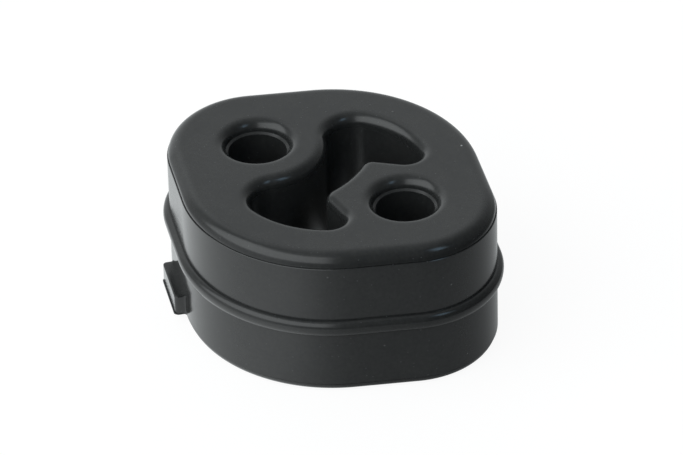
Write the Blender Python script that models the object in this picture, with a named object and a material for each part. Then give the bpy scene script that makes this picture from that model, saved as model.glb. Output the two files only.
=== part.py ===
"""Exhaust hanger: one moulded rubber block that hangs a pipe's pin from a bracket's pin.

The plan is drawn with the two bores on the X axis. Every upright surface is an outline
made of arcs, swept through a side profile from the bottom face to the top face.
"""
import math
from collections import namedtuple

import bmesh
import bpy
from mathutils import Matrix, Vector

# Heights
HEIGHT = 0.0292
UPPER_ROUND = 0.0024        # round of the upper edge, and the upper parting line's depth
LOWER_ROUND = 0.0015        # the same at the bottom
RIM_ROUND = 0.002           # round of the bores' and the void's rims

# Bores
BORE_DIAMETER = 0.0105
LEDGE = 0.00045             # how far a bore's neck steps in under its mouth
NECK_CHAMFER = 0.0003       # height of the chamfer between them

# Outline in plan
END_WALL = 0.0103           # rubber round the outer half of a bore's mouth
SIDE_RADIUS = 0.0272        # the two long side arcs
FLANK_ANGLE = 47.8          # degrees from the X axis to the normal of a straight flank
PARTING_STEP = 0.0002       # how far the side wall stands outside the rounded edges

# Void between the bores
NOSE_GAP = 0.0073           # free travel between the round boss and the hollow nose
BOSS_WALL = 0.00665         # rubber between a bore's mouth and the void
SIDE_WALL = 0.00945         # rubber between the void and the side arcs
BOSS_LOBE_RADIUS = 0.00515  # void's corners beside the round boss
NOSE_LOBE_RADIUS = 0.00295  # void's corners beside the nose
NOSE_WIDTH = 0.015
NOSE_CORNER = 0.0025
NOSE_SLOPE = 24.0           # degrees from the X axis to the nose's flanks
NOSE_FACE_RADIUS = 0.022    # hollow of the nose's face

# Bead round the side wall
BEAD_RISE = 0.0011          # half height of the bead's round
BEAD_REACH = 0.00115        # from the side wall
BEAD_LIFT = 0.0003          # centre of the round above mid height
CREASE_ANGLE = 15.0         # where the bead's round gives way to the lip, in degrees
CREASE_GAP = 0.00005
LIP_DROP = 0.0021           # from the crease down to the lip's foot
LIP_REACH = 0.001           # from the side wall

# Tab on one flank
TAB_LENGTH = 0.0111
TAB_HEIGHT = 0.00405
TAB_REACH = 0.002           # from the side wall
TAB_CORNER = 0.0007
TAB_LIFT = 0.0002           # from the lower parting line up to it
TAB_ROOT = 0.002            # part of it inside the wall
TAB_FILLET = 0.0005         # hollow round where its top and ends meet the wall
FILLET_TURN = 75.0          # degrees of that round that show

# Fineness of the facets
SAG = 0.00003               # greatest distance between an arc and its chords
ROUND_STEPS = 4
BEAD_STEPS = 7
LIP_STEPS = 4
FILLET_STEPS = 3

# Derived sizes
MOUTH_RADIUS = BORE_DIAMETER / 2 + LEDGE
BOSS_RADIUS = MOUTH_RADIUS + BOSS_WALL
PIN_OFFSET = BOSS_RADIUS + NOSE_GAP / 2
END_RADIUS = MOUTH_RADIUS + END_WALL
FLANK = math.radians(FLANK_ANGLE)
FLANK_DISTANCE = PIN_OFFSET * math.cos(FLANK) + END_RADIUS
SIDE_CENTRE = (FLANK_DISTANCE - SIDE_RADIUS) / math.sin(FLANK)
HALF_WIDTH = SIDE_CENTRE + SIDE_RADIUS
VOID_RADIUS = HALF_WIDTH - SIDE_WALL

# An arc runs from start to end, in degrees. It widens as its outline is offset outwards,
# or narrows where it bulges into the outline's inside.
Arc = namedtuple("Arc", "centre radius start end widens")


def arc_points(arc, offset):
    """Points along the arc, as many at any offset."""
    step = 2 * math.acos(1 - min(SAG / arc.radius, 0.5))
    start, end = math.radians(arc.start), math.radians(arc.end)
    count = max(2, math.ceil(abs(end - start) / step))
    radius = arc.radius + offset if arc.widens else max(arc.radius - offset, SAG)
    angles = [start + (end - start) * i / count for i in range(count + 1)]
    return [arc.centre + radius * Vector((math.cos(a), math.sin(a))) for a in angles]


def outline_points(arcs, offset):
    """Closed outline through the arcs in turn, with straight lines between them."""
    points = []
    for arc in arcs:
        for point in arc_points(arc, offset):
            if not points or (point - points[-1]).length > SAG:
                points.append(point)
    if (points[0] - points[-1]).length <= SAG:
        points.pop()
    return points


def mirrored(arcs):
    """The same arcs on the other side of the X axis, in the order that closes the outline."""
    return [Arc(Vector((a.centre.x, -a.centre.y)), a.radius, -a.end, -a.start, a.widens)
            for a in reversed(arcs)]


def direction(vector):
    return math.degrees(math.atan2(vector.y, vector.x))


def block_arcs():
    """Outer outline: end arcs round the bores and side arcs, joined by straight flanks."""
    normal = FLANK_ANGLE
    return [
        Arc(Vector((PIN_OFFSET, 0)), END_RADIUS, -normal, normal, True),
        Arc(Vector((0, SIDE_CENTRE)), SIDE_RADIUS, normal, 180 - normal, True),
        Arc(Vector((-PIN_OFFSET, 0)), END_RADIUS, 180 - normal, 180 + normal, True),
        Arc(Vector((0, -SIDE_CENTRE)), SIDE_RADIUS, 180 + normal, 360 - normal, True),
    ]


def void_arcs():
    """Void: hollow nose towards +X, boss round the bore towards -X, and four lobes."""
    # Face of the nose, hollow, and the corner that rounds it off
    face = Vector((NOSE_GAP / 2 - NOSE_FACE_RADIUS, 0))
    corner_y = NOSE_WIDTH / 2 - NOSE_CORNER
    corner_x = face.x + math.sqrt((NOSE_FACE_RADIUS + NOSE_CORNER) ** 2 - corner_y ** 2)
    corner = Vector((corner_x, corner_y))
    face_angle = direction(corner - face)

    # Lobe beside the nose, touching the nose's flank and the void's outer arc
    flank_angle = 90 + NOSE_SLOPE
    across = Vector((math.cos(math.radians(flank_angle)), math.sin(math.radians(flank_angle))))
    along = Vector((across.y, -across.x))
    height = corner.dot(across) + NOSE_CORNER + NOSE_LOBE_RADIUS
    reach = math.sqrt((VOID_RADIUS - NOSE_LOBE_RADIUS) ** 2 - height ** 2)
    nose_lobe = height * across + reach * along

    # Lobe beside the boss, touching the boss and the void's outer arc
    to_lobe = VOID_RADIUS - BOSS_LOBE_RADIUS
    lobe_x = (PIN_OFFSET ** 2 + to_lobe ** 2 - (BOSS_RADIUS + BOSS_LOBE_RADIUS) ** 2) / (2 * PIN_OFFSET)
    boss_lobe = Vector((-lobe_x, math.sqrt(to_lobe ** 2 - lobe_x ** 2)))
    bore = Vector((-PIN_OFFSET, 0))
    boss_angle = direction(boss_lobe - bore)

    upper = [
        Arc(corner, NOSE_CORNER, 180 + face_angle, flank_angle, False),
        Arc(nose_lobe, NOSE_LOBE_RADIUS, flank_angle - 180, direction(nose_lobe), True),
        Arc(Vector((0, 0)), VOID_RADIUS, direction(nose_lobe), direction(boss_lobe), True),
        Arc(boss_lobe, BOSS_LOBE_RADIUS, direction(boss_lobe), 180 + boss_angle, True),
    ]
    return [
        Arc(face, NOSE_FACE_RADIUS, -face_angle, face_angle, True),
        *upper,
        Arc(bore, BOSS_RADIUS, boss_angle, -boss_angle, False),
        *mirrored(upper),
    ]


def bore_arcs(x):
    return [Arc(Vector((x, 0)), MOUTH_RADIUS, 0, 360, True)]


def quarter_round(radius, offset, z, lower):
    """Profile of a rounded edge that ends on the wall at the given offset and height."""
    turn = -1 if lower else 1
    points = []
    for i in range(ROUND_STEPS + 1):
        angle = math.pi / 2 * i / ROUND_STEPS
        points.append((offset - radius * (1 - math.cos(angle)), z + turn * radius * math.sin(angle)))
    return points[::-1] if lower else points


def bead_profile(wall):
    """Bead at mid height with a lip under it, from the lip's foot up to the bead's top."""
    crease = math.radians(CREASE_ANGLE)
    bead_z = HEIGHT / 2 + BEAD_LIFT
    lip_z = bead_z - BEAD_RISE * math.sin(crease) - CREASE_GAP
    lip = []
    for i in range(LIP_STEPS + 1):
        angle = math.pi / 2 * (i / LIP_STEPS - 1)
        lip.append((wall + LIP_REACH * math.cos(angle), lip_z + LIP_DROP * math.sin(angle)))
    bead = []
    for i in range(BEAD_STEPS + 1):
        angle = -crease + (math.pi / 2 + crease) * i / BEAD_STEPS
        bead.append((wall + BEAD_REACH * math.cos(angle), bead_z + BEAD_RISE * math.sin(angle)))
    return lip + bead


def block_profile():
    """Side profile of the block: rounded edges, side wall a step outside them, bead."""
    wall = PARTING_STEP
    return [
        *quarter_round(LOWER_ROUND, 0, LOWER_ROUND, True),
        (wall, LOWER_ROUND),
        *bead_profile(wall),
        (wall, HEIGHT - UPPER_ROUND),
        *quarter_round(UPPER_ROUND, 0, HEIGHT - UPPER_ROUND, False),
    ]


def rim():
    """Offsets and depths of a rounded rim, from the face down to the wall."""
    angles = [math.pi / 2 * i / ROUND_STEPS for i in range(ROUND_STEPS + 1)]
    return [(RIM_ROUND * (1 - math.sin(a)), RIM_ROUND * (1 - math.cos(a))) for a in angles]


def both_ends(points):
    """Profile from the bottom face to the top face, the same at both."""
    return points + [(offset, HEIGHT - depth) for offset, depth in reversed(points)]


def void_profile():
    """Upright wall with rounded rims. A hole widens towards the faces."""
    return both_ends(rim())


def bore_profile():
    """Rounded mouths and a narrower neck between them."""
    return both_ends([*rim(), (-LEDGE, RIM_ROUND + NECK_CHAMFER)])


def sweep(bm, arcs, profile):
    """Outline extruded from height to height up the profile. Returns the lowest and the highest ring."""
    place = bm.verts.layers.int["place"]
    offset, z = profile[0]
    verts = []
    for i, point in enumerate(outline_points(arcs, offset)):
        verts.append(bm.verts.new((point.x, point.y, z)))
        verts[i][place] = i
    lowest = [bm.edges.new((verts[i - 1], verts[i])) for i in range(len(verts))]
    ring = lowest
    for offset, z in profile[1:]:
        grown = bmesh.ops.extrude_edge_only(bm, edges=ring)["geom"]
        points = outline_points(arcs, offset)
        verts = {item for item in grown if isinstance(item, bmesh.types.BMVert)}
        for vert in verts:
            vert.co = (*points[vert[place]], z)
        ring = [item for item in grown if isinstance(item, bmesh.types.BMEdge) and verts.issuperset(item.verts)]
    return lowest, ring


def make_block(collection, material):
    """The block with its bores and void, closed by the two flat faces."""
    bm = bmesh.new()
    bm.verts.layers.int.new("place")    # each corner's number along its outline
    skins = [
        sweep(bm, block_arcs(), block_profile()),
        sweep(bm, void_arcs(), void_profile()),
        sweep(bm, bore_arcs(PIN_OFFSET), bore_profile()),
        sweep(bm, bore_arcs(-PIN_OFFSET), bore_profile()),
    ]
    for rims in zip(*skins):
        bmesh.ops.triangle_fill(bm, use_beauty=True, edges=[edge for rim in rims for edge in rim])
    bmesh.ops.recalc_face_normals(bm, faces=bm.faces)
    mesh = bpy.data.meshes.new("exhaust_hanger")
    bm.to_mesh(mesh)
    bm.free()
    mesh.materials.append(material)
    block = bpy.data.objects.new("exhaust_hanger", mesh)
    collection.objects.link(block)
    return block


def make_tab(collection, material):
    """Tab low on the -X -Y flank, with its two outer corners rounded."""
    depth = TAB_ROOT + TAB_REACH
    bm = bmesh.new()
    bmesh.ops.create_cube(bm, size=1)
    bmesh.ops.scale(bm, vec=(depth, TAB_LENGTH, TAB_HEIGHT), verts=bm.verts)
    outer = [e for e in bm.edges if all(v.co.x > 0 for v in e.verts) and e.verts[0].co.y == e.verts[1].co.y]
    bmesh.ops.bevel(bm, geom=outer, offset=TAB_CORNER, segments=3, profile=0.5, affect="EDGES", material=-1)

    # Rings towards the wall, each grown upwards and lengthwise along the fillet's round
    wall_x = depth / 2 - TAB_REACH
    rings = []
    for i in range(FILLET_STEPS + 1):
        angle = math.radians(FILLET_TURN * i / FILLET_STEPS)
        x = wall_x + TAB_FILLET * (1 - math.sin(angle))
        growth = TAB_FILLET * (1 - math.cos(angle))
        bmesh.ops.bisect_plane(bm, geom=[*bm.verts, *bm.edges, *bm.faces], plane_co=(x, 0, 0), plane_no=(1, 0, 0))
        rings.append((x, growth))
    rings.append((-depth / 2, growth))
    from_foot = Matrix.Translation((0, 0, TAB_HEIGHT / 2))
    for x, growth in rings:
        ring = [v for v in bm.verts if abs(v.co.x - x) < SAG / 3]
        grow = (1, 1 + 2 * growth / TAB_LENGTH, 1 + growth / TAB_HEIGHT)
        bmesh.ops.scale(bm, vec=grow, space=from_foot, verts=ring)
    mesh = bpy.data.meshes.new("tab")
    bm.to_mesh(mesh)
    bm.free()
    mesh.materials.append(material)
    tab = bpy.data.objects.new("tab", mesh)

    # Middle of the straight flank between the end arc and the side arc
    normal = Vector((-math.cos(FLANK), -math.sin(FLANK)))
    flank_start = Vector((-PIN_OFFSET, 0)) + END_RADIUS * normal
    flank_end = Vector((0, -SIDE_CENTRE)) + SIDE_RADIUS * normal
    middle = (flank_start + flank_end) / 2 + (TAB_REACH + PARTING_STEP - depth / 2) * normal
    z = LOWER_ROUND + TAB_LIFT + TAB_HEIGHT / 2
    tab.matrix_world = Matrix.Translation((middle.x, middle.y, z)) @ Matrix.Rotation(FLANK + math.pi, 4, "Z")
    tab.hide_render = True
    tab.display_type = "WIRE"
    collection.objects.link(tab)
    return tab


def rubber():
    """Black rubber with a dull sheen."""
    material = bpy.data.materials.new("rubber")
    material.use_nodes = True
    shader = material.node_tree.nodes["Principled BSDF"]
    shader.inputs["Base Color"].default_value = (0.045, 0.048, 0.048, 1)
    shader.inputs["Roughness"].default_value = 0.45
    shader.inputs["Metallic"].default_value = 0
    return material


def new_collection(name):
    collection = bpy.data.collections.new(name)
    bpy.context.scene.collection.children.link(collection)
    return collection


def build():
    for old in list(bpy.data.objects):
        bpy.data.objects.remove(old, do_unlink=True)
    material = rubber()
    block = make_block(new_collection("exhaust hanger"), material)
    tab = make_tab(new_collection("joined on"), material)
    join = block.modifiers.new("tab", "BOOLEAN")
    join.operation = "UNION"
    join.solver = "EXACT"
    join.object = tab
    block.data.shade_smooth()
    block.data.set_sharp_from_angle(angle=math.radians(30))


build()
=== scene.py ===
"""Looks of the exhaust hanger: the moulded rubber block, its dull sheen, and a plain white studio."""
import math
from collections import namedtuple

import bmesh
import bpy
from mathutils import Matrix, Vector


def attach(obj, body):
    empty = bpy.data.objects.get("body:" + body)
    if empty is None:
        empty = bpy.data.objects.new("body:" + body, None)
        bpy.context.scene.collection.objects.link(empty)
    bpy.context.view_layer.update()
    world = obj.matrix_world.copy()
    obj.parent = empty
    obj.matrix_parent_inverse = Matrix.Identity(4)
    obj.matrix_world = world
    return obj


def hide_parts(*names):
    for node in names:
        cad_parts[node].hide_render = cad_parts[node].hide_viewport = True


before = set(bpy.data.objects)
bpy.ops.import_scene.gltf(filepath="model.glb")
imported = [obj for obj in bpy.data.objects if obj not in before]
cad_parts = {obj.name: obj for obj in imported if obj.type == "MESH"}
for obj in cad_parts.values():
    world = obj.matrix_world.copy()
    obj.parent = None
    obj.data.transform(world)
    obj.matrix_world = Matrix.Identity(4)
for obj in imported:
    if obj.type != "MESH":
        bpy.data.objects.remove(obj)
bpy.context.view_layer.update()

# Photograph, in pixels, and the camera that took it, in metres
PHOTO_WIDTH = 683
FOCAL_LENGTH = 5861.7
SENSOR_WIDTH = 36.0             # mm
CAMERA_PLACE = (0.49912, -0.68742, 0.62679)
CAMERA_RIGHT = (0.81881578, 0.57368235, -0.02071891)
CAMERA_UP = (-0.32112722, 0.48766391, 0.81182586)
CLIP_END = 20

# Block, in metres
HEIGHT = 0.0292
UPPER_ROUND = 0.0024            # round of the upper edge, down to its parting line
LOWER_ROUND = 0.0015
PIN_OFFSET = 0.016
END_RADIUS = 0.016
SIDE_RADIUS = 0.0272
FLANK = math.radians(47.8)
PARTING_STEP = 0.0002           # how far the side wall stands outside the rounded edges
SIDE_CENTRE = (PIN_OFFSET * math.cos(FLANK) + END_RADIUS - SIDE_RADIUS) / math.sin(FLANK)
LAND = 0.0004                   # flat margin kept beside each rounded edge

# Holes
RIM_ROUND = 0.002
MOUTH_RADIUS = 0.0057
LEDGE = 0.00045                 # how far a bore steps in to its neck
LEDGE_DROP = 0.0003             # how deep that step is
HOLES_RADIUS = 0.024            # holes end inside it, and the outer wall starts outside it

# Parting line, seen as a fine groove between rounded edge and side wall
GROOVE_DEPTH = 0.00008
GROOVE_HEIGHT = 0.00014
CHAMFER = 0.0001

# Void
VOID_WALL = 0.00945             # rubber left between the void and the rounded edges' outline
VOID_RADIUS = SIDE_CENTRE + SIDE_RADIUS - VOID_WALL
BOSS_RADIUS = 0.01235
BOSS_LOBE_RADIUS = 0.00515
NOSE_LOBE_RADIUS = 0.00295
NOSE_FACE_X = 0.00365
NOSE_WIDTH = 0.015
NOSE_CORNER = 0.0025
NOSE_SLOPE = 24.0               # degrees
NOSE_FACE_RADIUS = 0.022

# Bead round the middle, longer below its widest line than above
BEAD_Z = 0.0143
BEAD_RISE = 0.0014
BEAD_DROP = 0.00183
BEAD_REACH = 0.00115
BEAD_FOOT = math.radians(12)    # where its round starts above its foot
BEAD_TOP = math.radians(88)

# Tab
TAB_LENGTH = 0.0111
TAB_HEIGHT = 0.00405
TAB_LIFT = 0.0002
TAB_REACH = 0.002
TAB_CORNER = 0.0007
TAB_CORNER_STEPS = 6
TAB_EDGE = 0.0002
TAB_EDGE_STEPS = 4
TAB_EDGE_ANGLE = 1.0            # radians. Edges that turn by more than this get rounded
TAB_MARGIN = 0.0001             # flat strip kept beside its rounded edges
TAB_ROOT = 0.002
TAB_FILLET = 0.0005             # hollow round where its ends meet the wall
FILLET_TURN = math.radians(75)
FILLET_STEPS = 8
FLASH_REACH = 0.0002            # thin flash along the tab's foot
FLASH_HEIGHT = 0.00025

# Fineness
TURN_STEP = math.radians(2.0)
RUN_STEP = 0.0006
ROUND_STEPS = 10
SHARP_ANGLE = math.radians(30)
SAME_PLACE = 1e-6               # lengths under this count as none
MERGE_GAP = 2e-6

# Rubber. Noise scales count bumps a metre
BLOTCH = {"Scale": 90.0, "Detail": 4.0, "Roughness": 0.6}
CLOUD = {"Scale": 420.0, "Detail": 5.0, "Roughness": 0.65}
MOTTLE = {"Scale": 1500.0, "Detail": 2.0, "Roughness": 0.6}
GRAIN = {"Scale": 5200.0, "Detail": 3.0, "Roughness": 0.6}
RUBBER_DARK = (0.016, 0.0170, 0.0175, 1)
RUBBER_PALE = (0.027, 0.028, 0.0275, 1)
PATCH_BLOTCH = 1.2              # how much each noise lightens the rubber
PATCH_CLOUD = 1.2
PATCH_MOTTLE = 1.4
PATCH_START = 1.4               # their sum at which it starts to get lighter
SHEEN_BASE = 0.13               # roughness, and what the noises and the holes' depth add to it
SHEEN_CLOUD = 0.06
SHEEN_BLOTCH = 0.04
SHEEN_INNER = 0.16
BUMP_GRAIN = 0.7
BUMP_CLOUD = 0.3
BUMP_STRENGTH = 0.2
BUMP_DISTANCE = 0.00004

# Dust, as fine specks all over and a few larger crumbs, each with its place and how much it covers. The last
# three marks are painted glints, not dust
DUST_CELLS = 1100.0             # cells a metre, some of which hold a speck
DUST_CHOICE = 0.7               # a cell whose own random value is above this does
DUST_EDGE = 0.16                # how far a speck reaches from its middle, in cells
DUST_CORE = 0.06                # how far it is full
DUST_COLOUR = (0.07, 0.075, 0.075, 1)
CRUMB_AND_GLINT_RADIUS = 0.00022          # of a crumb, and of a painted glint
CRUMB_AND_GLINT_COLOUR = (0.5, 0.5, 0.5, 1)
CRUMBS_AND_GLINTS = (
    (0.01532, 0.01876, 0.0292, 0.8),
    (0.03058, -0.00706, 0.02049, 0.2),
    (0.0317, -0.00397, 0.00393, 0.2),
    (-0.02032, 0.00298, 0.02211, 0.1),
    (-0.001, 0.02079, 0.0292, 0.15),
    (0.02237, -0.01609, 0.00943, 0.12),
    (0.01495, -0.02234, 0.02505, 0.14),
    (0.00531, 0.01629, 0.02658, 0.12),
    # Painted glints: pale spots where nicks and flash on the bead's lower edge catch the light
    (0.01109, -0.02522, 0.01311, 0.2),
    (0.02803, -0.01215, 0.01368, 0.14),
    (0.02707, -0.01292, 0.01332, 0.12),
)

# Studio. The levels run once round, from -X through -Y, +X and +Y back to -X
RAMP_TOP = 2.0                  # level that a ramp's white stands for
ROOM_LEVELS = (0.55, 0.42, 0.68, 0.86, 0.84, 0.8, 0.72, 0.54, 0.26, 0.18, 0.13, 0.11, 0.1,
               0.1, 0.12, 0.15, 0.21, 0.31, 0.45, 0.57, 0.66, 0.78, 0.95, 0.95, 0.5)
OVERHEAD_LEVEL = 0.42
OVERHEAD_HEIGHTS = (0.75, 1.1)  # where the room starts to take on the overhead level, and where it would end
COOL = (0.96, 1.0, 1.01, 1)
BLUE = (0.62, 0.95, 1.25, 1)
WHITE = (1, 1, 1, 1)

# Floor. Near the block its reflections have their own levels, and afar the room's. Both are painted light, a
# glow that only reflections see, dim where the block's shadow falls
FLOOR_SIZE = 6
FLOOR_GAP = 0.00002             # left under the block
FLOOR_LEVELS = (1.06, 1.2, 1.22, 1.14, 1.12, 1.14, 1.2, 1.17, 0.67, 0.45, 0.42, 0.43, 0.45,
                0.48, 0.52, 0.6, 0.68, 0.8, 0.92, 0.78, 0.6, 0.75, 0.92, 1.06, 1.06)
FLOOR_NEAR = 0.062
FLOOR_FAR = 0.09
FLOOR_SHADE = 0.12              # part of the floor's brightness that a shadow can take away
FLOOR_GLOW = 0.92

# Panel and window. Sides in turns from their middle and heights from 0 to 1, each as low, high and blur
PANEL_TURN = math.radians(-112)
PANEL_SIDES = (-44 / 360, 54 / 360, 2 / 360)
PANEL_HEIGHTS = (0.17, 0.88, 0.05)
PANEL_LEVEL = 1.3
WINDOW_TURN = math.radians(-10)
WINDOW_SIDES = (-8 / 360, 8 / 360, 3 / 360)
WINDOW_HEIGHTS = (0.5, 0.79, 0.04)
WINDOW_LEVEL = 1.6

Bend = namedtuple("Bend", "centre radius start end")
SMOOTH = {"interpolation_type": "SMOOTHSTEP"}


class Section:
    """Upright section in the XZ plane, drawn from one point by straight pulls and bends."""

    def __init__(self, bm, x, z):
        self.bm = bm
        self.tip = bm.verts.new((x, 0, z))
        self.verts = [self.tip]

    def to(self, x, z):
        self.tip = bmesh.ops.extrude_vert_indiv(self.bm, verts=[self.tip])["verts"][0]
        self.tip.co = (x, 0, z)
        self.verts.append(self.tip)
        return self

    def bend(self, x, z, angle, steps, rise=1.0):
        """Round about a centre. The rise stretches it upwards."""
        centre = Vector((x, 0, z))
        old = set(self.bm.verts)
        self.tip.co.z = z + (self.tip.co.z - z) / rise
        made = bmesh.ops.spin(self.bm, geom=[self.tip], cent=centre, axis=(0, -1, 0), angle=angle,
                              steps=steps)
        new = [v for v in self.bm.verts if v not in old]
        for vert in [self.tip, *new]:
            vert.co.z = z + (vert.co.z - z) * rise
        self.verts += new
        self.tip = next(item for item in made["geom_last"] if isinstance(item, bmesh.types.BMVert))
        return self

    def edges(self):
        own = set(self.verts)
        return [e for e in self.bm.edges if own.issuperset(e.verts)]


def outward(angle):
    return Vector((math.cos(angle), math.sin(angle), 0))


def sweep(bm, section, bends):
    """The section carried round the closed outline: spun at each bend, pulled along between them."""
    first = bends[0]
    turned = Matrix.Rotation(first.start, 3, "Z")
    bmesh.ops.rotate(bm, verts=section.verts, cent=(0, 0, 0), matrix=turned)
    place = first.centre + first.radius * outward(first.start)
    bmesh.ops.translate(bm, verts=section.verts, vec=place)
    ring = [*section.verts, *section.edges()]
    for bend, following in zip(bends, [*bends[1:], first]):
        turn = bend.end - bend.start
        steps = max(2, round(abs(turn) / TURN_STEP))
        ring = bmesh.ops.spin(bm, geom=ring, cent=bend.centre, axis=(0, 0, 1), angle=turn,
                              steps=steps, use_merge=len(bends) == 1)["geom_last"]
        run = following.centre + following.radius * outward(following.start)
        run -= bend.centre + bend.radius * outward(bend.end)
        if run.length > SAME_PLACE:
            steps = max(1, round(run.length / RUN_STEP))
            ring = bmesh.ops.spin(bm, geom=ring, cent=(0, 0, 0), axis=(0, 0, 1), angle=0,
                                  dvec=run / steps, steps=steps)["geom_last"]
    bmesh.ops.remove_doubles(bm, verts=bm.verts, dist=MERGE_GAP)


def block_bends():
    """Ends round the bores and the long sides, with straight flanks between them."""
    end = Vector((PIN_OFFSET, 0, 0))
    side = Vector((0, SIDE_CENTRE, 0))
    return [
        Bend(end, END_RADIUS, -FLANK, FLANK),
        Bend(side, SIDE_RADIUS, FLANK, math.pi - FLANK),
        Bend(-end, END_RADIUS, math.pi - FLANK, math.pi + FLANK),
        Bend(-side, SIDE_RADIUS, math.pi + FLANK, 2 * math.pi - FLANK),
    ]


def angle_of(vector):
    return math.atan2(vector.y, vector.x)


def void_bends():
    """Hollow nose towards +X, round boss towards -X, and a lobe at each corner."""
    face = Vector((NOSE_FACE_X - NOSE_FACE_RADIUS, 0, 0))
    corner_y = NOSE_WIDTH / 2 - NOSE_CORNER
    corner_x = face.x + math.sqrt((NOSE_FACE_RADIUS + NOSE_CORNER) ** 2 - corner_y ** 2)
    corner = Vector((corner_x, corner_y, 0))
    face_angle = angle_of(corner - face)
    flank = math.radians(90 + NOSE_SLOPE)
    across = outward(flank)
    along = Vector((across.y, -across.x, 0))
    height = corner.dot(across) + NOSE_CORNER + NOSE_LOBE_RADIUS
    reach = math.sqrt((VOID_RADIUS - NOSE_LOBE_RADIUS) ** 2 - height ** 2)
    nose_lobe = height * across + reach * along
    to_lobe = VOID_RADIUS - BOSS_LOBE_RADIUS
    to_boss = BOSS_RADIUS + BOSS_LOBE_RADIUS
    lobe_x = (PIN_OFFSET ** 2 + to_lobe ** 2 - to_boss ** 2) / (2 * PIN_OFFSET)
    boss_lobe = Vector((-lobe_x, math.sqrt(to_lobe ** 2 - lobe_x ** 2), 0))
    boss = Vector((-PIN_OFFSET, 0, 0))
    boss_angle = angle_of(boss_lobe - boss)

    # A bend that bulges into the void has a negative radius, so its section still points into the rubber
    upper = [
        Bend(corner, -NOSE_CORNER, face_angle, flank - math.pi),
        Bend(nose_lobe, NOSE_LOBE_RADIUS, flank - math.pi, angle_of(nose_lobe)),
        Bend(Vector((0, 0, 0)), VOID_RADIUS, angle_of(nose_lobe), angle_of(boss_lobe)),
        Bend(boss_lobe, BOSS_LOBE_RADIUS, angle_of(boss_lobe), math.pi + boss_angle),
    ]
    lower = [Bend(Vector((bend.centre.x, -bend.centre.y, 0)), bend.radius, -bend.end, -bend.start)
             for bend in reversed(upper)]
    boss_bend = Bend(boss, -BOSS_RADIUS, math.pi + boss_angle, math.pi - boss_angle)
    return [Bend(face, NOSE_FACE_RADIUS, -face_angle, face_angle), *upper, boss_bend, *lower]


def block_section(bm):
    """Rounded edge, parting groove, wall, bead, wall, groove, rounded edge."""
    wall = PARTING_STEP
    groove = -GROOVE_DEPTH
    quarter = math.pi / 2
    section = Section(bm, -LOWER_ROUND - LAND, 0).to(-LOWER_ROUND, 0)
    section.bend(-LOWER_ROUND, LOWER_ROUND, quarter, ROUND_STEPS)
    line = LOWER_ROUND
    section.to(groove, line + GROOVE_DEPTH).to(groove, line + GROOVE_HEIGHT)
    section.to(wall - CHAMFER, line + GROOVE_HEIGHT).to(wall, line + GROOVE_HEIGHT + CHAMFER)

    section.to(wall, BEAD_Z - BEAD_DROP - LAND).to(wall, BEAD_Z - BEAD_DROP)
    section.to(wall + BEAD_REACH * math.sin(BEAD_FOOT), BEAD_Z - BEAD_DROP * math.cos(BEAD_FOOT))
    section.bend(wall, BEAD_Z, quarter - BEAD_FOOT, 2 * ROUND_STEPS, BEAD_DROP / BEAD_REACH)
    section.bend(wall, BEAD_Z, BEAD_TOP, 2 * ROUND_STEPS, BEAD_RISE / BEAD_REACH)

    top = BEAD_Z + BEAD_RISE
    section.to(wall, top).to(wall, top + LAND)

    line = HEIGHT - UPPER_ROUND
    section.to(wall, line - GROOVE_HEIGHT - CHAMFER).to(wall - CHAMFER, line - GROOVE_HEIGHT)
    section.to(groove, line - GROOVE_HEIGHT).to(groove, line - GROOVE_DEPTH).to(0, line)
    section.bend(-UPPER_ROUND, line, quarter, ROUND_STEPS)
    return section.to(-UPPER_ROUND - LAND, HEIGHT)


def hole_section(bm, neck=False):
    """Wall of a hole with rounded rims. A neck makes it step in under them."""
    quarter = math.pi / 2
    section = Section(bm, RIM_ROUND + LAND, 0).to(RIM_ROUND, 0)
    section.bend(RIM_ROUND, RIM_ROUND, -quarter, ROUND_STEPS)
    if neck:
        foot = RIM_ROUND + LEDGE_DROP
        section.to(-LEDGE, foot).to(-LEDGE, HEIGHT - foot)
    section.to(0, HEIGHT - RIM_ROUND)
    section.bend(RIM_ROUND, HEIGHT - RIM_ROUND, -quarter, ROUND_STEPS)
    return section.to(RIM_ROUND + LAND, HEIGHT)


def box(bm, size, place):
    verts = bmesh.ops.create_cube(bm, size=1)["verts"]
    bmesh.ops.scale(bm, vec=size, verts=verts)
    bmesh.ops.translate(bm, verts=verts, vec=place)
    return verts


def round_edges(bm, verts, offset, segments, chosen):
    """Rounds the chosen edges between these corners. Returns all the corners there are then."""
    edges = {e for v in verts for e in v.link_edges if chosen(e)}
    made = bmesh.ops.bevel(bm, geom=list(edges), offset=offset, segments=segments, profile=0.5,
                           affect="EDGES", material=-1)
    return list({*(v for v in verts if v.is_valid), *made["verts"]})


def outer_upright(edge):
    low, high = edge.verts
    return low.co.x > 0 and high.co.x > 0 and low.co.y == high.co.y


def crisp(edge):
    return edge.calc_face_angle(0) > TAB_EDGE_ANGLE and max(v.co.x for v in edge.verts) > 0


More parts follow.
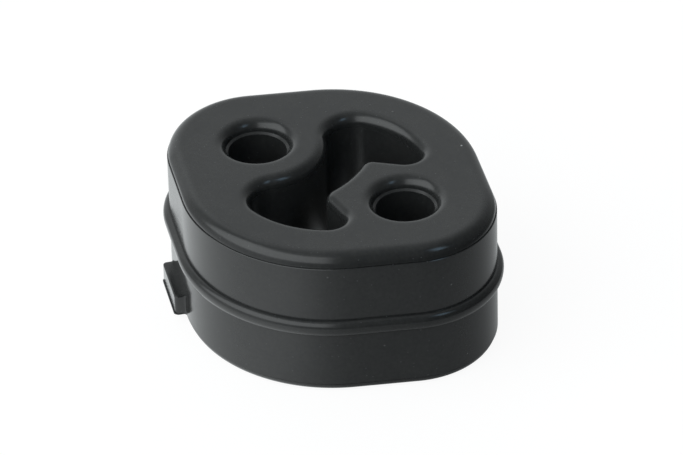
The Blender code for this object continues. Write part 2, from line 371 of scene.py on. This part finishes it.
def make_tab():
    """Tab low on the -X -Y flank, with rounded edges, a hollow root and a thin flash at its foot."""
    depth = TAB_ROOT + TAB_REACH
    bm = bmesh.new()
    verts = box(bm, (depth, TAB_LENGTH, TAB_HEIGHT), (0, 0, 0))
    verts = round_edges(bm, verts, TAB_CORNER, TAB_CORNER_STEPS, outer_upright)
    round_edges(bm, verts, TAB_EDGE, TAB_EDGE_STEPS, crisp)

    # Cuts beside the rounded edges, which keep the flat faces between them flat
    margins = [(depth / 2 - TAB_EDGE, (1, 0, 0)), (TAB_HEIGHT / 2 - TAB_EDGE, (0, 0, 1))]
    margins += [(TAB_LENGTH / 2 - TAB_CORNER, (0, side, 0)) for side in (-1, 1)]
    for reach, normal in margins:
        bmesh.ops.bisect_plane(bm, geom=[*bm.verts, *bm.edges, *bm.faces],
                               plane_co=(reach - TAB_MARGIN) * Vector(normal), plane_no=normal)

    # Rings towards the wall, each grown lengthwise along the fillet's round
    wall_x = depth / 2 - TAB_REACH
    rings = []
    for i in range(FILLET_STEPS + 1):
        angle = FILLET_TURN * i / FILLET_STEPS
        x = wall_x + TAB_FILLET * (1 - math.sin(angle))
        growth = TAB_FILLET * (1 - math.cos(angle))
        bmesh.ops.bisect_plane(bm, geom=[*bm.verts, *bm.edges, *bm.faces], plane_co=(x, 0, 0),
                               plane_no=(1, 0, 0))
        rings.append((x, growth))
    rings.append((-depth / 2, growth))
    for x, growth in rings:
        ring = [v for v in bm.verts if abs(v.co.x - x) < SAME_PLACE]
        bmesh.ops.scale(bm, vec=(1, 1 + 2 * growth / TAB_LENGTH, 1), verts=ring)

    size = (depth + FLASH_REACH, TAB_LENGTH, FLASH_HEIGHT)
    flash = box(bm, size, (FLASH_REACH / 2, 0, TAB_EDGE + (FLASH_HEIGHT - TAB_HEIGHT) / 2))
    round_edges(bm, flash, TAB_CORNER, TAB_CORNER_STEPS, outer_upright)

    normal = -outward(FLANK)
    flank_start = Vector((-PIN_OFFSET, 0, 0)) + END_RADIUS * normal
    flank_end = Vector((0, -SIDE_CENTRE, 0)) + SIDE_RADIUS * normal
    middle = (flank_start + flank_end) / 2 + (TAB_REACH + PARTING_STEP - depth / 2) * normal
    middle.z = LOWER_ROUND + TAB_LIFT + TAB_HEIGHT / 2
    turned = Matrix.Rotation(FLANK + math.pi, 3, "Z")
    bmesh.ops.rotate(bm, verts=bm.verts, cent=(0, 0, 0), matrix=turned)
    bmesh.ops.translate(bm, verts=bm.verts, vec=middle)
    mesh = bpy.data.meshes.new("tab")
    bm.to_mesh(mesh)
    bm.free()
    return mesh


def make_block():
    """The whole moulding as one piece."""
    bm = bmesh.new()
    sweep(bm, block_section(bm), block_bends())
    sweep(bm, hole_section(bm), void_bends())
    for x in (-PIN_OFFSET, PIN_OFFSET):
        bore = Bend(Vector((x, 0, 0)), MOUTH_RADIUS, 0, 2 * math.pi)
        sweep(bm, hole_section(bm, neck=True), [bore])
    for z in (0, HEIGHT):
        rims = [e for e in bm.edges
                if e.is_boundary and all(abs(v.co.z - z) < SAME_PLACE for v in e.verts)]
        bmesh.ops.triangle_fill(bm, use_beauty=True, edges=rims)
    bmesh.ops.recalc_face_normals(bm, faces=bm.faces)
    bm.from_mesh(make_tab())
    mesh = bpy.data.meshes.new("hanger_block")
    bm.to_mesh(mesh)
    bm.free()
    mesh.shade_smooth()
    mesh.set_sharp_from_angle(angle=SHARP_ANGLE)
    block = bpy.data.objects.new("hanger_block", mesh)
    bpy.context.scene.collection.objects.link(block)
    return block


class Wire:
    """A socket's value in a sum."""

    def __init__(self, paint, socket):
        self.paint = paint
        self.socket = socket

    def __add__(self, other):
        return self.paint.sum("ADD", self, other)

    def __sub__(self, other):
        return self.paint.sum("SUBTRACT", self, other)

    def __rsub__(self, other):
        return self.paint.sum("SUBTRACT", other, self)

    def __mul__(self, other):
        return self.paint.sum("MULTIPLY", self, other)

    def __gt__(self, other):
        return self.paint.sum("GREATER_THAN", self, other)

    def __lt__(self, other):
        return self.paint.sum("LESS_THAN", self, other)

    __radd__ = __add__
    __rmul__ = __mul__


class Paint:
    """A material or world, and the nodes that make it."""

    def __init__(self, holder):
        holder.use_nodes = True
        self.tree = holder.node_tree
        self.tree.nodes.clear()

    def node(self, kind, settings=None, out=0, **sockets):
        node = self.tree.nodes.new("ShaderNode" + kind)
        for name, value in (settings or {}).items():
            if name == "stops":
                ramp = node.color_ramp
                ramp.interpolation = "B_SPLINE"
                while len(ramp.elements) > 1:
                    ramp.elements.remove(ramp.elements[-1])
                for place, level in value:
                    stop = ramp.elements.new(place)
                    stop.color = (level, level, level, 1)
                ramp.elements.remove(ramp.elements[0])
            else:
                setattr(node, name, value)
        for name, value in sockets.items():
            key = int(name[1:]) if name[1:].isdigit() else name.replace("_", " ")
            socket = node.inputs[key]
            if isinstance(value, Wire):
                self.tree.links.new(value.socket, socket)
            else:
                socket.default_value = value
        return Wire(self, node.outputs[out]) if node.outputs else node

    def sum(self, operation, first, second):
        return self.node("Math", {"operation": operation}, s0=first, s1=second)

    def mix(self, factor, first, second):
        """Colour between two."""
        settings = {"data_type": "RGBA"}
        return self.node("Mix", settings, out=2, s0=factor, s6=first, s7=second)


def rubber():
    """Black rubber: dull sheen, fine moulded grain, soft blotches, stray dust and a few painted glints on
    nicks and flash.
    """
    material = bpy.data.materials.new("rubber")
    paint = Paint(material)
    place = paint.node("TexCoord", out="Object")
    blotch = paint.node("TexNoise", Vector=place, **BLOTCH)
    cloud = paint.node("TexNoise", Vector=place, **CLOUD)
    grain = paint.node("TexNoise", Vector=place, **GRAIN)
    mottle = paint.node("TexNoise", Vector=place, **MOTTLE)
    patch = PATCH_BLOTCH * blotch + PATCH_CLOUD * cloud + PATCH_MOTTLE * mottle - PATCH_START
    colour = paint.mix(patch, RUBBER_DARK, RUBBER_PALE)

    near = paint.node("TexVoronoi", Vector=place, Scale=DUST_CELLS)
    pick = paint.node("TexVoronoi", out="Color", Vector=place, Scale=DUST_CELLS)
    pick = paint.node("SeparateColor", Color=pick)
    dust = paint.node("MapRange", Value=near, From_Min=DUST_EDGE, From_Max=DUST_CORE) * (pick > DUST_CHOICE)
    colour = paint.mix(dust * pick, colour, DUST_COLOUR)
    # Dust crumbs, and painted glints where nicks and flash catch the light, each a pale spot
    for x, y, z, amount in CRUMBS_AND_GLINTS:
        gap = paint.node("VectorMath", {"operation": "DISTANCE"}, out="Value", s0=place,
                         s1=(x, y, z))
        crumb_and_glint = paint.node("MapRange", Value=gap, From_Min=CRUMB_AND_GLINT_RADIUS, From_Max=CRUMB_AND_GLINT_RADIUS / 2)
        colour = paint.mix(amount * crumb_and_glint, colour, CRUMB_AND_GLINT_COLOUR)

    # The walls of the holes are duller than the rest, from under their rims on
    height = paint.node("SeparateXYZ", out="Z", Vector=place)
    across = paint.node("VectorMath", {"operation": "MULTIPLY"}, s0=place, s1=(1, 1, 0))
    across = paint.node("VectorMath", {"operation": "LENGTH"}, out="Value", s0=across)
    depth = paint.node("MapRange", Value=height, From_Min=HEIGHT, From_Max=HEIGHT - 2 * RIM_ROUND)
    inner = depth * (across < HOLES_RADIUS)
    roughness = SHEEN_BASE + SHEEN_CLOUD * cloud + SHEEN_BLOTCH * blotch + SHEEN_INNER * inner
    bump = paint.node("Bump", Height=BUMP_GRAIN * grain + BUMP_CLOUD * cloud, Strength=BUMP_STRENGTH,
                      Distance=BUMP_DISTANCE)
    shader = paint.node("BsdfPrincipled", Base_Color=colour, Roughness=roughness, Normal=bump)
    paint.node("OutputMaterial", Surface=shader)
    return material


def around(paint, direction, levels):
    """Brightness by compass direction, smoothly through levels that lie evenly once round."""
    angle = paint.node("TexGradient", {"gradient_type": "RADIAL"}, out=1, Vector=direction)
    stops = [(i / (len(levels) - 1), level / RAMP_TOP) for i, level in enumerate(levels)]
    return RAMP_TOP * paint.node("ValToRGB", {"stops": stops}, Fac=angle)


def band(paint, value, low, high, blur):
    """One between low and high, falling to nought over the blur on both sides."""
    rise = paint.node("MapRange", SMOOTH, Value=value, From_Min=low - blur, From_Max=low + blur)
    fall = paint.node("MapRange", SMOOTH, Value=value, From_Min=high + blur, From_Max=high - blur)
    return rise * fall


def white_floor():
    """White floor with a faint shadow. Reflections see a painted glow on it, brighter on the lit side than
    on the other, where it stands for the block's shadow.
    """
    bm = bmesh.new()
    bmesh.ops.create_grid(bm, x_segments=1, y_segments=1, size=FLOOR_SIZE)
    bmesh.ops.translate(bm, verts=bm.verts, vec=(0, 0, -FLOOR_GAP))
    mesh = bpy.data.meshes.new("floor")
    bm.to_mesh(mesh)
    bm.free()
    floor = bpy.data.objects.new("floor", mesh)
    bpy.context.scene.collection.objects.link(floor)
    material = bpy.data.materials.new("floor")
    paint = Paint(material)
    camera_ray = paint.node("LightPath", out="Is Camera Ray")
    glossy_ray = paint.node("LightPath", out="Is Glossy Ray")
    place = paint.node("TexCoord", out="Object")
    reach = paint.node("VectorMath", {"operation": "LENGTH"}, out="Value", s0=place)
    afar = paint.node("MapRange", SMOOTH, Value=reach, From_Min=FLOOR_NEAR, From_Max=FLOOR_FAR)
    # Painted light and shadow that only reflections see: the panel's light on the floor, and the block's
    # shadow
    lit = around(paint, place, FLOOR_LEVELS)
    lit = lit + afar * (around(paint, place, ROOM_LEVELS) - lit)
    diffuse = paint.node("BsdfDiffuse", Color=(FLOOR_SHADE, FLOOR_SHADE, FLOOR_SHADE, 1))
    strength = FLOOR_GLOW * camera_ray + glossy_ray * (lit - FLOOR_SHADE)
    glow = paint.node("Emission", Color=paint.mix(camera_ray, COOL, WHITE), Strength=strength)
    paint.node("OutputMaterial", Surface=paint.node("AddShader", s0=diffuse, s1=glow))
    floor.data.materials.append(material)


def panel(paint, direction, height, turn, sides, heights):
    """Soft-edged rectangle in the sky, facing one compass direction."""
    turned = paint.node("VectorRotate", {"rotation_type": "Z_AXIS"}, Vector=direction, Angle=-turn)
    sideways = paint.node("TexGradient", {"gradient_type": "RADIAL"}, out=1, Vector=turned)
    return band(paint, sideways - 0.5, *sides) * band(paint, height, *heights)


def studio():
    """A white room, brighter on its lit side, with a large soft panel there and a small window."""
    world = bpy.data.worlds.new("studio")
    bpy.context.scene.world = world
    paint = Paint(world)
    direction = paint.node("TexCoord", out="Generated")
    height = paint.node("SeparateXYZ", out="Z", Vector=direction)
    camera_ray = paint.node("LightPath", out="Is Camera Ray")
    room = around(paint, direction, ROOM_LEVELS)
    low, high = OVERHEAD_HEIGHTS
    overhead = paint.node("MapRange", SMOOTH, Value=height, From_Min=low, From_Max=high)
    room = room + overhead * (OVERHEAD_LEVEL - room)
    room = room + PANEL_LEVEL * panel(paint, direction, height, PANEL_TURN, PANEL_SIDES, PANEL_HEIGHTS)
    window = panel(paint, direction, height, WINDOW_TURN, WINDOW_SIDES, WINDOW_HEIGHTS)
    room = room + WINDOW_LEVEL * window
    strength = room + camera_ray * (1 - room)
    colour = paint.mix(camera_ray, paint.mix(window, COOL, BLUE), WHITE)
    paint.node("OutputWorld", Surface=paint.node("Background", Color=colour, Strength=strength))


def camera():
    """Camera at the photograph's angle."""
    data = bpy.data.cameras.new("camera")
    data.sensor_width = SENSOR_WIDTH
    data.lens = FOCAL_LENGTH / PHOTO_WIDTH * SENSOR_WIDTH
    data.clip_end = CLIP_END
    holder = bpy.data.objects.new("camera", data)
    right, up = Vector(CAMERA_RIGHT), Vector(CAMERA_UP)
    turn = Matrix((right, up, right.cross(up))).transposed().to_4x4()
    holder.matrix_world = Matrix.Translation(CAMERA_PLACE) @ turn
    bpy.context.scene.collection.objects.link(holder)
    bpy.context.scene.camera = holder


camera()
white_floor()
studio()
block = make_block()
block.data.materials.append(rubber())
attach(block, "root")
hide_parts("exhaust_hanger")

scene = bpy.context.scene
scene.view_settings.view_transform = "Standard"
